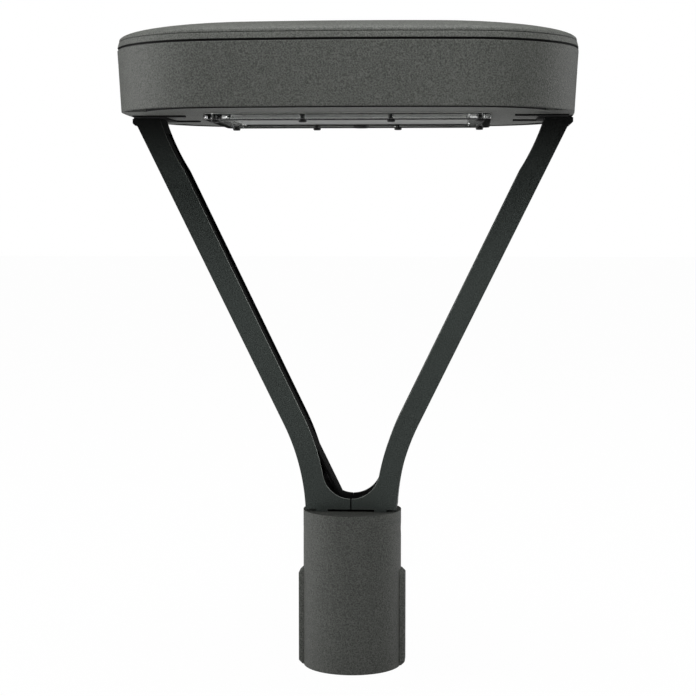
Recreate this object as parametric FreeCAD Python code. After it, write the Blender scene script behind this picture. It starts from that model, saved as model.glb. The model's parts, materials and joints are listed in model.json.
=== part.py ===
import FreeCAD, Part
import math
import os

from FreeCAD import Vector

# Post-top street light head: a flat rounded-square head on two channel-section arms
# that stand on a pole sleeve. The origin is the centre of the sleeve's bottom rim,
# +Z up, the wide side along X, the front towards -Y. Millimetres.

# Pole sleeve
sleeve_od = 88.0
bore_d = 78.0
sleeve_height = 141.4
sleeve_top_plate = 8.0
sleeve_rim_chamfer = 1.2
sleeve_foot_chamfer = 0.4
rib_reach = 48.0
rib_width = 16.0
rib_height = 87.5
rib_chamfer = 4.0
cable_hole_d = 24.0
set_screw_d = 8.0
lower_set_screw_z = 20.0
upper_set_screw_z = 123.0

# Head plan: four bulged sides and four corners, all tangent arcs
head_width = 393.0
head_depth = 344.0
front_bulge_r = 1052.0
side_bulge_r = 1051.0
corner_r = 99.0

# Head heights
head_bottom_z = 491.1
wall_height = 52.1
wall_draft = 2.9
wall_t = 3.2
floor_t = 5.0
bottom_edge_r = 2.5
seam_gap = 1.0
seam_recess = 1.1
seam_lap = 0.2

# Top cover: a drafted band, a crease, and a low crown that rises from it by a power curve
band_inset = 1.4
band_height = 7.0
dome_rise = 25.1
crown_rim_power = 1.9
crown_root_power = 2.15
crown_joints = (0.0, 0.06, 0.3, 0.94)
crown_steps = 4
cover_t = 2.8
cover_setback = 0.2

# Cover screws in the four corners
cover_screw_inset_x = 36.0
cover_screw_inset_y = 60.0
cover_screw_d = 5.0
cover_screw_head_d = 9.0
cover_screw_head_h = 3.2
cover_screw_length = 26.0
pocket_d = 13.0
pocket_floor_above_seam = 9.5
post_d = 12.0

# Light window on the underside
plate_x = 244.0
plate_y = 160.0
plate_corner_r = 8.0
plate_chamfer = 0.8
plate_rim_t = 4.6
plate_skin_t = 2.2
recess_x = 208.0
recess_y = 120.0
recess_corner_r = 4.0
plate_gasket_t = 0.8
window_x = 230.0
window_y = 126.0
window_corner_r = 6.0
window_depth = 4.0
deck_t = 5.0
deck_edge = 6.0
lens_columns = 8
lens_rows = 4
lens_pitch_x = 27.0
lens_pitch_y = 29.0
lens_r = 8.4
lens_height = 2.0
board_edge = 2.0
board_t = 1.6
chip_size = 5.0
chip_t = 0.9

# Screws that hold the lens plate
plate_screw_pitch = 75.1
plate_screw_count = 4
plate_screw_y = 69.8
plate_screw_d = 4.0
plate_screw_head_d = 6.8
plate_screw_head_h = 3.3
plate_screw_sink = 1.0
plate_screw_grip = 9.0
plate_boss_d = 9.0
plate_gasket_inset = 1.0

# Arms: outer and inner edges are lines tangent to two arcs round one centre
foot_half = 40.3
foot_drop = 8.6
foot_arc_r = 193.0
foot_web = 19.0
arm_depth = 38.0
arm_wall = 3.0
arm_pad_h = 2.0
pad_near_x = 21.0
pad_far_x = 31.5
foot_plate_t = 8.0
valley_above_foot = 9.6
arm_head_h = 6.2
arm_head_corner = 1.2
arm_top_block = 12.0
arm_head_inset = 0.3
arm_out_step = 4.3
arm_neck_step = 26.5
arm_root_step = 24.2
waist_drop = 45.0
waist_bow = 1.6
arm_seam = 0.3

# Gasket on each arm's head: a plate with two legs that reach inwards
gasket_t = 1.2
gasket_half_y = 46.0
gasket_leg = 9.0
gasket_reach = 50.8
gasket_web_reach = 30.0
gasket_out_step = 5.0

# Screws through the head floor into the arms, and through the sleeve top into the feet
head_screw_inset = 13.5
head_screw_y = 13.0
head_screw_d = 6.0
head_screw_head_d = 10.0
head_screw_head_h = 6.0
head_screw_length = 19.0
foot_screw_x = 26.25
foot_screw_y = 9.0
foot_screw_d = 8.0
foot_screw_head_d = 15.0
foot_screw_head_h = 4.0
foot_screw_length = 15.0
cable_way_d = 10.0
foot_slot_x = 20.0
foot_slot_y = 14.0

# Cable cover: a flat strip recessed in the left arm's channel
strip_depth = 17.0
strip_t = 2.0

# Gear inside the head
tray_x = 200.0
tray_y = 112.0
tray_t = 1.5
tray_lip = 8.0
tray_post_h = 6.0
tray_post_d = 10.0
tray_post_x = 88.0
tray_post_y = 44.0
tray_screw_head_h = 3.0
driver_x = 128.0
driver_y = 62.0
driver_h = 34.0
driver_at_x = -26.0
driver_corner_r = 4.0
driver_chamfer = 1.5
surge_x = 34.0
surge_y = 26.0
surge_h = 22.0
surge_corner_r = 3.0
gear_column_x = 72.0
terminal_pitch = 10.0
terminal_ways = 3
terminal_base_y = 22.0
terminal_base_h = 8.0
terminal_tower_y = 16.0
terminal_tower_h = 17.0
terminal_tower_gap = 2.0
terminal_hole_d = 4.0
terminal_hole_depth = 6.0
gland_d = 14.0
gland_h = 13.0
gland_base_h = 4.0
gland_cap_inset = 2.0
gland_bore_d = 7.0
plug_head_h = 3.0
vent_d = 14.0
vent_cap_h = 3.0
vent_chamfer = 1.0
vent_stem_h = 2.0
vent_inset = 44.0

# Shape of the screw heads, as shares of the shank and the head
socket_r_share = 0.36
socket_depth_share = 0.6
head_round_share = 0.3

# Running and seating clearances
seat_gap = 0.3
thread_gap = 0.05
hole_gap = 0.4

# Values worked out from the sizes above
cover_screw_x = head_width / 2 - cover_screw_inset_x
cover_screw_y = head_depth / 2 - cover_screw_inset_y
vent_y = head_depth / 2 - vent_inset
arm_end_x = head_width / 2 - wall_draft - arm_head_inset
arm_out_x = arm_end_x - arm_out_step
arm_in_x = arm_end_x - arm_neck_step
arm_root_x = arm_end_x - arm_root_step
gasket_in_x = arm_end_x - gasket_reach
gasket_web_x = arm_end_x - gasket_web_reach
gasket_out_x = arm_end_x - gasket_out_step
head_screw_x = arm_end_x - head_screw_inset
seam_z = head_bottom_z + wall_height
cover_z = seam_z + seam_gap
floor_z = head_bottom_z + floor_t
board_z = head_bottom_z + window_depth
deck_z = board_z + deck_t
plate_top_z = head_bottom_z - plate_gasket_t
plate_low_z = plate_top_z - plate_rim_t
arm_top_z = head_bottom_z - gasket_t
arm_lip_z = arm_top_z - arm_head_h
foot_z = sleeve_height + arm_pad_h
foot_top_z = foot_z + foot_plate_t
valley_z = foot_z + valley_above_foot
arc_centre = Vector(foot_half + foot_arc_r, 0, foot_z - foot_drop)
half_depth = arm_depth / 2
over = 1.0

nodes = {}


def keep(name, shape):
    solids = shape.Solids
    nodes[name] = solids[0] if len(solids) == 1 else Part.makeCompound(solids)


def cylinder(d, x, y, z_low, z_high):
    return Part.makeCylinder(d / 2, z_high - z_low, Vector(x, y, z_low))


def block(x_low, x_high, y_low, y_high, z_low, z_high):
    return Part.makeBox(x_high - x_low, y_high - y_low, z_high - z_low, Vector(x_low, y_low, z_low))


def centred_block(x_size, y_size, z_low, z_high, x=0.0, y=0.0):
    return block(x - x_size / 2, x + x_size / 2, y - y_size / 2, y + y_size / 2, z_low, z_high)


def rounded_block(x_size, y_size, r, z_low, z_high, x=0.0, y=0.0):
    solid = centred_block(x_size, y_size, z_low, z_high, x, y)
    upright = [e for e in solid.Edges if abs(e.tangentAt(e.FirstParameter).z) > 0.99]
    return solid.makeFillet(r, upright)


def fused(shapes):
    whole = shapes[0].multiFuse(shapes[1:]) if len(shapes) > 1 else shapes[0]
    return whole.removeSplitter()


def mirrored_x(shape):
    return shape.mirror(Vector(0, 0, 0), Vector(1, 0, 0))


def four_corners(x, y):
    return [(sx * x, sy * y) for sx in (-1, 1) for sy in (-1, 1)]


def polar(centre, r, angle):
    return centre + Vector(math.cos(angle), 0, math.sin(angle)) * r


def arc(centre, r, start, end):
    points = [polar(centre, r, start), polar(centre, r, (start + end) / 2), polar(centre, r, end)]
    return Part.Arc(*points).toShape()


def line(a, b):
    return Part.LineSegment(a, b).toShape()


# Head outlines


def head_outline(z, inset=0.0, scale=1.0):
    """Closed wire of eight tangent arcs, drawn in from the seam outline and then scaled."""
    a = (head_width / 2 - inset) * scale
    b = (head_depth / 2 - inset) * scale
    front_r = (front_bulge_r - inset) * scale
    side_r = (side_bulge_r - inset) * scale
    r = (corner_r - inset) * scale
    front_c = Vector(0, b - front_r, 0)
    side_c = Vector(a - side_r, 0, 0)
    across = side_c - front_c
    span = across.Length
    along = (span ** 2 + (front_r - r) ** 2 - (side_r - r) ** 2) / (2 * span)
    off = math.sqrt((front_r - r) ** 2 - along ** 2)
    unit = across / span
    corner = front_c + unit * along + Vector(unit.y, -unit.x, 0) * off
    front_way = (corner - front_c).normalize()
    side_way = (corner - side_c).normalize()
    front_end = corner + front_way * r
    side_end = corner + side_way * r
    middle = corner + (front_way + side_way).normalize() * r

    def at(point, sx, sy):
        return Vector(sx * point.x, sy * point.y, z)

    runs = [
        (at(side_end, 1, -1), Vector(a, 0, z), at(side_end, 1, 1)),
        (at(side_end, 1, 1), at(middle, 1, 1), at(front_end, 1, 1)),
        (at(front_end, 1, 1), Vector(0, b, z), at(front_end, -1, 1)),
        (at(front_end, -1, 1), at(middle, -1, 1), at(side_end, -1, 1)),
        (at(side_end, -1, 1), Vector(-a, 0, z), at(side_end, -1, -1)),
        (at(side_end, -1, -1), at(middle, -1, -1), at(front_end, -1, -1)),
        (at(front_end, -1, -1), Vector(0, -b, z), at(front_end, 1, -1)),
        (at(front_end, 1, -1), at(middle, 1, -1), at(side_end, 1, -1)),
    ]
    return Part.Wire([Part.Arc(*run).toShape() for run in runs])


def tapered(z_low, inset_low, z_high, inset_high):
    return Part.makeLoft([head_outline(z_low, inset_low), head_outline(z_high, inset_high)], True, True)


def draft_at(z):
    return wall_draft * (seam_z - z) / wall_height


# Screws


def pan_screw(d, head_d, head_h, length, x, y, seat_z, up=1):
    """Screw whose head lies on seat_z and whose shank runs the way opposite to up."""
    head = Part.makeCylinder(head_d / 2, head_h, Vector(x, y, seat_z), Vector(0, 0, up))
    rim = [e for e in head.Edges if abs(e.CenterOfMass.z - seat_z - up * head_h) < 0.01]
    head = head.makeFillet(head_h * head_round_share, [e for e in rim if len(e.Vertexes) == 1])
    shank = Part.makeCylinder(d / 2, length, Vector(x, y, seat_z), Vector(0, 0, -up))
    return fused([head, shank]).cut(socket_cut(d, x, y, seat_z + up * head_h, -up, head_h))


def socket_cut(d, x, y, z, way, depth):
    corners = [polar(Vector(0, 0, 0), d * socket_r_share, math.pi / 3 * i) for i in range(7)]
    corners = [Vector(x + corner.x, y + corner.z, z) for corner in corners]
    return Part.Face(Part.makePolygon(corners)).extrude(Vector(0, 0, way * depth * socket_depth_share))


def flat_head_screw(d, head_d, head_h, length, x, y, face_z, up=-1):
    head = Part.makeCone(head_d / 2, d / 2, head_h, Vector(x, y, face_z), Vector(0, 0, -up))
    shank = Part.makeCylinder(d / 2, length, Vector(x, y, face_z), Vector(0, 0, -up))
    return fused([head, shank]).cut(socket_cut(d, x, y, face_z, -up, head_h))


# Pole sleeve and its set screws


def side_cylinder(d, side, z, x_low, x_high):
    return Part.makeCylinder(d / 2, x_high - x_low, Vector(side * x_low, 0, z), Vector(side, 0, 0))


def make_pole_sleeve():
    body = cylinder(sleeve_od, 0, 0, 0, sleeve_height)
    for z, chamfer in ((0, sleeve_foot_chamfer), (sleeve_height, sleeve_rim_chamfer)):
        rim = [e for e in body.Edges if len(e.Vertexes) == 1 and abs(e.CenterOfMass.z - z) < 0.01]
        body = body.makeChamfer(chamfer, rim)
    bore_top = sleeve_height - sleeve_top_plate
    ribs = []
    for side in (-1, 1):
        inner_x = bore_d / 2 + over
        profile = [
            Vector(side * inner_x, 0, 0),
            Vector(side * (rib_reach - rib_chamfer), 0, 0),
            Vector(side * rib_reach, 0, rib_chamfer),
            Vector(side * rib_reach, 0, rib_height - rib_chamfer),
            Vector(side * (rib_reach - rib_chamfer), 0, rib_height),
            Vector(side * inner_x, 0, rib_height),
        ]
        face = Part.Face(Part.makePolygon(profile + profile[:1]))
        face.translate(Vector(0, -rib_width / 2, 0))
        ribs.append(face.extrude(Vector(0, rib_width, 0)))
    body = fused([body] + ribs)
    body = body.cut(cylinder(bore_d, 0, 0, -over, bore_top))
    body = body.cut(cylinder(cable_hole_d, 0, 0, bore_top - over, sleeve_height + over))
    for x, y in four_corners(foot_screw_x, foot_screw_y):
        body = body.cut(cylinder(foot_screw_d + hole_gap, x, y, bore_top - over, sleeve_height + over))
        sink = Part.makeCone(foot_screw_head_d / 2 + seat_gap, foot_screw_d / 2 + seat_gap,
                             foot_screw_head_h, Vector(x, y, bore_top), Vector(0, 0, 1))
        body = body.cut(sink)
    for side in (-1, 1):
        for z in (lower_set_screw_z, upper_set_screw_z):
            hole = side_cylinder(set_screw_d + 2 * thread_gap, side, z, bore_d / 2 - over, rib_reach + over)
            body = body.cut(hole)
    return body


def make_set_screws():
    screws = []
    for side in (-1, 1):
        for z, outer_x in ((lower_set_screw_z, rib_reach), (upper_set_screw_z, sleeve_od / 2)):
            tip_x = bore_d / 2 + seat_gap
            end_x = outer_x - over
            screw = side_cylinder(set_screw_d, side, z, tip_x, end_x)
            depth = (end_x - tip_x) / 2
            socket = Part.makeCylinder(set_screw_d / 4, depth + over,
                                       Vector(side * (end_x - depth), 0, z), Vector(side, 0, 0))
            screws.append(screw.cut(socket))
    return Part.makeCompound(screws)


# Arms


def tangent_angle(point, r):
    """Angle round arc_centre where a line from point touches the circle of radius r."""
    reach = point - arc_centre
    return math.atan2(reach.z, reach.x) + math.acos(r / reach.Length)


def valley_arc():
    """Centre and radius of the arc in the V, tangent to the inner edge's arc."""
    inner_r = foot_arc_r + foot_web
    drop = inner_r - valley_z
    top = arc_centre.x ** 2 + arc_centre.z ** 2 - drop ** 2
    z = top / (2 * (arc_centre.z + drop))
    return Vector(0, 0, z), z - valley_z


outer_top = Vector(arm_out_x, 0, arm_lip_z)
inner_top = Vector(arm_in_x, 0, arm_lip_z)
outer_turn = tangent_angle(outer_top, foot_arc_r)
inner_turn = tangent_angle(inner_top, foot_arc_r + foot_web)
valley_centre, valley_r = valley_arc()
valley_turn = math.atan2(arc_centre.z - valley_centre.z, arc_centre.x)


def at_height(a, b, z):
    """Point at height z on the line from a to b."""
    return a + (b - a) * ((z - a.z) / (b.z - a.z))


def arm_side_wire():
    """Front view of the right arm: foot, swept outer edge, head lip, bowed top, inner edge, valley."""
    inner_r = foot_arc_r + foot_web
    low_turn = math.asin((arm_seam / 2) / valley_r) - math.pi / 2
    foot_turn = math.pi - math.asin(foot_drop / foot_arc_r)
    valley_low = polar(valley_centre, valley_r, low_turn)
    foot_in = Vector(arm_seam / 2, 0, foot_z)
    foot_out = polar(arc_centre, foot_arc_r, foot_turn)
    outer_high = polar(arc_centre, foot_arc_r, outer_turn)
    lip_low = Vector(arm_end_x - arm_head_corner, 0, arm_lip_z)
    lip_high = Vector(arm_end_x, 0, arm_lip_z + arm_head_corner)
    top_out = Vector(arm_end_x, 0, arm_top_z)
    top_in = Vector(arm_root_x, 0, arm_top_z)
    inner_high = polar(arc_centre, inner_r, inner_turn)
    waist = at_height(inner_high, inner_top, arm_top_z - waist_drop)
    chord = top_in - waist
    bow = (waist + top_in) / 2 + Vector(chord.z, 0, -chord.x).normalize() * waist_bow
    edges = [
        line(valley_low, foot_in),
        line(foot_in, foot_out),
        arc(arc_centre, foot_arc_r, foot_turn, outer_turn),
        line(outer_high, outer_top),
        line(outer_top, lip_low),
        line(lip_low, lip_high),
        line(lip_high, top_out),
        line(top_out, top_in),
        Part.Arc(top_in, bow, waist).toShape(),
        line(waist, inner_high),
        arc(arc_centre, inner_r, inner_turn, math.pi + valley_turn),
        arc(valley_centre, valley_r, valley_turn, low_turn),
    ]
    return Part.Wire(Part.__sortEdges__(edges))


def channel_wire():
    """Front view of the hollow between the flanges, open along the inner edge."""
    web_r = foot_arc_r + arm_wall
    open_r = foot_arc_r + foot_web + 2 * arm_wall
    ceiling = arm_top_z - arm_top_block
    web_high = polar(arc_centre, web_r, outer_turn)
    web_top = at_height(web_high, web_high + outer_top - polar(arc_centre, foot_arc_r, outer_turn), ceiling)
    open_high = polar(arc_centre, open_r, inner_turn)
    open_way = inner_top - polar(arc_centre, foot_arc_r + foot_web, inner_turn)
    open_top = at_height(open_high, open_high + open_way, ceiling)
    joint = math.pi + valley_turn
    under_r = valley_r + arm_wall
    low_turn = -math.asin((valley_centre.z - foot_top_z) / under_r)
    web_low_turn = math.pi - math.asin((foot_top_z - arc_centre.z) / web_r)
    edges = [
        line(polar(valley_centre, under_r, low_turn), polar(arc_centre, web_r, web_low_turn)),
        arc(arc_centre, web_r, web_low_turn, outer_turn),
        line(web_high, web_top),
        line(web_top, open_top),
        line(open_top, open_high),
        arc(arc_centre, open_r, inner_turn, joint),
        line(polar(arc_centre, open_r, joint), polar(valley_centre, under_r, valley_turn)),
        arc(valley_centre, under_r, valley_turn, low_turn),
    ]
    return Part.Wire(Part.__sortEdges__(edges))


def extruded(wire, depth):
    face = Part.Face(wire)
    face.translate(Vector(0, -depth / 2, 0))
    return face.extrude(Vector(0, depth, 0))


def screw_places(x, y):
    return [(x, -y), (x, y)]


def make_right_arm():
    body = extruded(arm_side_wire(), arm_depth)
    body = body.cut(extruded(channel_wire(), arm_depth - 2 * arm_wall))
    pad = block(pad_near_x, pad_far_x, -half_depth, half_depth, sleeve_height, foot_z)
    body = fused([body, pad])
    slot = centred_block(2 * foot_slot_x, foot_slot_y, foot_z - over, foot_top_z + over)
    valley_floor = Part.makeCylinder(valley_r + arm_wall, arm_depth, Vector(0, -half_depth, valley_centre.z),
                                     Vector(0, 1, 0))
    body = body.cut(slot.cut(valley_floor))
    for x, y in screw_places(foot_screw_x, foot_screw_y):
        hole_d = foot_screw_d + 2 * thread_gap
        body = body.cut(cylinder(hole_d, x, y, sleeve_height - over, foot_top_z + over))
    block_low = arm_top_z - arm_top_block
    for x, y in screw_places(head_screw_x, head_screw_y):
        body = body.cut(cylinder(head_screw_d + 2 * thread_gap, x, y, block_low - over, arm_top_z + over))
    return body.cut(cylinder(cable_way_d, head_screw_x, 0, block_low - over, arm_top_z + over))


def make_arm_gasket():
    sheet = block(gasket_in_x, gasket_out_x, -gasket_half_y, gasket_half_y, arm_top_z, head_bottom_z)
    sheet = sheet.fuse(block(gasket_web_x, arm_end_x - arm_head_corner, -half_depth, half_depth,
                             arm_top_z, head_bottom_z))
    opening_y = gasket_half_y - gasket_leg
    sheet = sheet.cut(block(gasket_in_x - over, gasket_web_x, -opening_y, opening_y,
                            arm_top_z - over, floor_z))
    for x, y in screw_places(head_screw_x, head_screw_y):
        sheet = sheet.cut(cylinder(head_screw_d + hole_gap, x, y, arm_top_z - over, floor_z))
    sheet = sheet.cut(cylinder(cable_way_d, head_screw_x, 0, arm_top_z - over, floor_z))
    return sheet.removeSplitter()


# Cable cover in the left arm


def strip_line(depth):
    """Two points on the line that lies depth inside the arm's outer face, right-hand side."""
    way = (outer_top - polar(arc_centre, foot_arc_r, outer_turn)).normalize()
    return outer_top + Vector(-way.z, 0, way.x) * depth, way


def make_cable_cover():
    """Flat strip, drawn on the right-hand side, with a tab on the valley floor."""
    face_top, way = strip_line(strip_depth)
    back_top = strip_line(strip_depth - strip_t)[0]
    ceiling = arm_top_z - arm_top_block - seat_gap
    top_face = face_top + way * ((ceiling - face_top.z) / way.z)
    top_back = back_top + way * ((ceiling - back_top.z) / way.z)
    tab_low = valley_z + seat_gap
    low_face = face_top + way * ((tab_low + strip_t - face_top.z) / way.z)
    low_back = back_top + way * ((tab_low - back_top.z) / way.z)
    profile = [top_face, top_back, low_back, low_face]
    body = extruded(Part.makePolygon(profile + profile[:1]), arm_depth - 2 * arm_wall - 2 * seat_gap)
    floor_tool = Part.makeCylinder(valley_r, arm_depth, Vector(0, -half_depth, valley_centre.z),
                                   Vector(0, 1, 0))
    above = block(0, arm_end_x, -half_depth, half_depth, valley_centre.z, arm_top_z)
    inside = fused([floor_tool, above])
    return body.common(inside)


# Lower housing of the head


def plate_screw_places():
    first = -plate_screw_pitch * (plate_screw_count - 1) / 2
    return [(first + plate_screw_pitch * i, y) for i in range(plate_screw_count)
            for y in (-plate_screw_y, plate_screw_y)]


def rounded_foot():
    """The rounded bottom edge of the head, from the flat underside up to the drafted wall."""
    wires = []
    for i in range(4):
        turn = math.pi / 2 * i / 3
        z = head_bottom_z + bottom_edge_r * (1 - math.cos(turn))
        inset = draft_at(head_bottom_z + bottom_edge_r) + bottom_edge_r * (1 - math.sin(turn))
        wires.append(head_outline(z, inset))
    return Part.makeLoft(wires, True, False)


def make_lower_housing():
    wall_low = head_bottom_z + bottom_edge_r
    outer = tapered(wall_low, draft_at(wall_low), seam_z, 0.0).fuse(rounded_foot())
    inner = tapered(floor_z, draft_at(floor_z) + wall_t, seam_z + over, wall_t)
    body = outer.cut(inner)
    deck = rounded_block(window_x + 2 * deck_edge, window_y + 2 * deck_edge, window_corner_r,
                         head_bottom_z + over, deck_z)
    posts = [cylinder(post_d, x, y, head_bottom_z + over, seam_z)
             for x, y in four_corners(cover_screw_x, cover_screw_y)]
    bosses = [cylinder(plate_boss_d, x, y, head_bottom_z + over, deck_z + over)
              for x, y in plate_screw_places()]
    tray_posts = [cylinder(tray_post_d, x, y, head_bottom_z + over, deck_z + tray_post_h)
                  for x, y in four_corners(tray_post_x, tray_post_y)]
    body = fused([body, deck] + posts + bosses + tray_posts)
    window = rounded_block(window_x, window_y, window_corner_r, head_bottom_z - over, board_z)
    body = body.cut(window)
    for x, y in four_corners(cover_screw_x, cover_screw_y):
        depth = cover_screw_length - pocket_floor_above_seam + over
        body = body.cut(cylinder(cover_screw_d + 2 * thread_gap, x, y, seam_z - depth, seam_z + over))
    for x, y in plate_screw_places():
        body = body.cut(cylinder(plate_screw_d + 2 * thread_gap, x, y, head_bottom_z - over,
                                 head_bottom_z + plate_screw_grip - over))
    for x, y in four_corners(head_screw_x, head_screw_y):
        body = body.cut(cylinder(head_screw_d + hole_gap, x, y, head_bottom_z - over, floor_z + over))
    for side in (-1, 1):
        body = body.cut(cylinder(cable_way_d, side * head_screw_x, 0, head_bottom_z - over, floor_z + over))
    return body.cut(cylinder(vent_d / 2, 0, vent_y, head_bottom_z - over, floor_z + over))


# Top cover


def crown_outline(t, inset, drop):
    """Outline of the crown at t, which runs from 0 at the crease to 1 at the middle."""
    rise = (1 - (1 - t) ** crown_rim_power) ** (1 / crown_root_power)
    z = seam_z + band_height + (dome_rise - band_height) * rise - drop
    return head_outline(z, inset, (1 - band_inset / (head_width / 2)) * (1 - t))


def crown(inset, drop):
    """Smooth lofts between the joints of the crown, one above the other."""
    rings = []
    for low, high in zip(crown_joints, crown_joints[1:]):
        wires = [crown_outline(low + (high - low) * i / crown_steps, inset, drop)
                 for i in range(crown_steps + 1)]
        rings.append(Part.makeLoft(wires, True, False))
    return rings


def make_top_cover():
    band_scale = 1 - band_inset / (head_width / 2)
    low = head_outline(cover_z, cover_setback)
    high = head_outline(seam_z + band_height, 0.0, band_scale)
    outer = fused([Part.makeLoft([low, high], True, True)] + crown(0.0, 0.0))
    inner_low = head_outline(cover_z - over, cover_t)
    inner_high = head_outline(seam_z + band_height - cover_t, cover_t, band_scale)
    hollow = fused([Part.makeLoft([inner_low, inner_high], True, True)] + crown(cover_t, cover_t))
    body = outer.cut(hollow)
    pocket_z = seam_z + pocket_floor_above_seam
    bosses = [cylinder(pocket_d + 2 * cover_t, x, y, cover_z, pocket_z + pocket_d).common(outer)
              for x, y in four_corners(cover_screw_x, cover_screw_y)]
    body = fused([body] + bosses)
    for x, y in four_corners(cover_screw_x, cover_screw_y):
        body = body.cut(cylinder(pocket_d, x, y, pocket_z, seam_z + dome_rise))
        body = body.cut(cylinder(cover_screw_d + hole_gap, x, y, cover_z - over, pocket_z + over))
    return body


def make_cover_gasket():
    ring = tapered(seam_z, seam_recess, cover_z, seam_recess)
    return ring.cut(tapered(seam_z - over, wall_t - seam_lap, cover_z + over, wall_t - seam_lap))


def make_cover_screws():
    pocket_z = seam_z + pocket_floor_above_seam
    return Part.makeCompound([pan_screw(cover_screw_d, cover_screw_head_d, cover_screw_head_h,
                                        cover_screw_length, x, y, pocket_z)
                              for x, y in four_corners(cover_screw_x, cover_screw_y)])


# Light source on the underside


def lens_places():
    return [((i - (lens_columns - 1) / 2) * lens_pitch_x, (j - (lens_rows - 1) / 2) * lens_pitch_y)
            for i in range(lens_columns) for j in range(lens_rows)]


def make_lens_plate():
    body = rounded_block(plate_x, plate_y, plate_corner_r, plate_low_z, plate_top_z)
    low_edges = [e for e in body.Edges if abs(e.CenterOfMass.z - plate_low_z) < 0.01]
    body = body.makeChamfer(plate_chamfer, low_edges)
    skin_low = plate_top_z - plate_skin_t
    body = body.cut(rounded_block(recess_x, recess_y, recess_corner_r, plate_low_z - over, skin_low))
    ball_r = (lens_r ** 2 + lens_height ** 2) / (2 * lens_height)
    slab = centred_block(plate_x, plate_y, plate_top_z - plate_skin_t / 2, plate_top_z + lens_height + over)
    domes = [Part.makeSphere(ball_r, Vector(x, y, plate_top_z + lens_height - ball_r)).common(slab)
             for x, y in lens_places()]
    body = fused([body] + domes)
    for x, y in plate_screw_places():
        body = body.cut(cylinder(plate_screw_d + hole_gap, x, y, plate_low_z - over, plate_top_z + over))
        body = body.cut(cylinder(plate_screw_head_d + hole_gap, x, y, plate_low_z - over,
                                 plate_low_z + plate_screw_sink))
    return body


def make_lens_gasket():
    ring = rounded_block(plate_x - 2 * plate_gasket_inset, plate_y - 2 * plate_gasket_inset,
                         plate_corner_r - plate_gasket_inset, plate_top_z, head_bottom_z)
    ring = ring.cut(rounded_block(window_x, window_y, window_corner_r, plate_top_z - over, floor_z))
    for x, y in plate_screw_places():
        ring = ring.cut(cylinder(plate_screw_d + hole_gap, x, y, plate_top_z - over, floor_z))
    return ring


def make_plate_screws():
    seat = plate_low_z + plate_screw_sink
    length = head_bottom_z + plate_screw_grip - 2 * over - seat
    return Part.makeCompound([pan_screw(plate_screw_d, plate_screw_head_d, plate_screw_head_h,
                                        length, x, y, seat, -1)
                              for x, y in plate_screw_places()])


def make_led_board():
    return rounded_block(window_x - 2 * board_edge, window_y - 2 * board_edge,
                         window_corner_r - board_edge, board_z - board_t, board_z)


def make_led_chips():
    low = board_z - board_t - chip_t
    return Part.makeCompound([centred_block(chip_size, chip_size, low, low + chip_t, x, y)
                              for x, y in lens_places()])


# Gear inside the head


def make_gear_tray():
    low = deck_z + tray_post_h
    sheet = centred_block(tray_x, tray_y, low, low + tray_lip)
    sheet = sheet.cut(centred_block(tray_x + over, tray_y - 2 * tray_t, low + tray_t, low + tray_lip + over))
    for x, y in four_corners(tray_post_x, tray_post_y):
        sheet = sheet.cut(cylinder(cover_screw_d, x, y, low - over, low + tray_t + over))
    return sheet


tray_top_z = deck_z + tray_post_h + tray_t


def make_tray_screws():
    return Part.makeCompound([cylinder(cover_screw_head_d, x, y, tray_top_z, tray_top_z + tray_screw_head_h)
                              for x, y in four_corners(tray_post_x, tray_post_y)])


def make_driver():
    case = rounded_block(driver_x, driver_y, driver_corner_r, tray_top_z, tray_top_z + driver_h, driver_at_x)
    top = [e for e in case.Edges if abs(e.CenterOfMass.z - tray_top_z - driver_h) < 0.01]
    return case.makeChamfer(driver_chamfer, top)


def make_surge_protector():
    top_z = tray_top_z + surge_h
    return rounded_block(surge_x, surge_y, surge_corner_r, tray_top_z, top_z, gear_column_x, -surge_y)


def make_terminal_block():
    base_top = tray_top_z + terminal_base_h
    tower_top = tray_top_z + terminal_tower_h
    shapes = [centred_block(terminal_ways * terminal_pitch, terminal_base_y, tray_top_z, base_top,
                            gear_column_x, surge_y)]
    for i in range(terminal_ways):
        x = gear_column_x + (i - (terminal_ways - 1) / 2) * terminal_pitch
        tower = centred_block(terminal_pitch - terminal_tower_gap, terminal_tower_y,
                              base_top - over, tower_top, x, surge_y)
        hole = cylinder(terminal_hole_d, x, surge_y, tower_top - terminal_hole_depth, tower_top + over)
        shapes.append(tower.cut(hole))
    return fused(shapes)


def make_cable_gland():
    x = -head_screw_x
    base = cylinder(gland_d, x, 0, floor_z, floor_z + gland_base_h)
    cap = cylinder(gland_d - gland_cap_inset, x, 0, floor_z + gland_base_h - over, floor_z + gland_h)
    neck = cylinder(cable_way_d - 2 * thread_gap, x, 0, head_bottom_z + over, floor_z + over)
    bore = cylinder(gland_bore_d, x, 0, head_bottom_z, floor_z + gland_h + over)
    return fused([base, cap, neck]).cut(bore)


def make_blind_plug():
    head = cylinder(gland_d, head_screw_x, 0, floor_z, floor_z + plug_head_h)
    neck = cylinder(cable_way_d - 2 * thread_gap, head_screw_x, 0, head_bottom_z + over, floor_z + over)
    return fused([head, neck])


def make_vent():
    cap = cylinder(vent_d, 0, vent_y, head_bottom_z - vent_cap_h, head_bottom_z)
    rim = [e for e in cap.Edges if abs(e.CenterOfMass.z - head_bottom_z + vent_cap_h) < 0.01]
    cap = cap.makeChamfer(vent_chamfer, rim)
    stem = cylinder(vent_d / 2 - 2 * thread_gap, 0, vent_y, head_bottom_z - over, floor_z + vent_stem_h)
    return fused([cap, stem])


def make_head_screws():
    return Part.makeCompound([pan_screw(head_screw_d, head_screw_head_d, head_screw_head_h,
                                        head_screw_length, x, y, floor_z)
                              for x, y in four_corners(head_screw_x, head_screw_y)])


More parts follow.
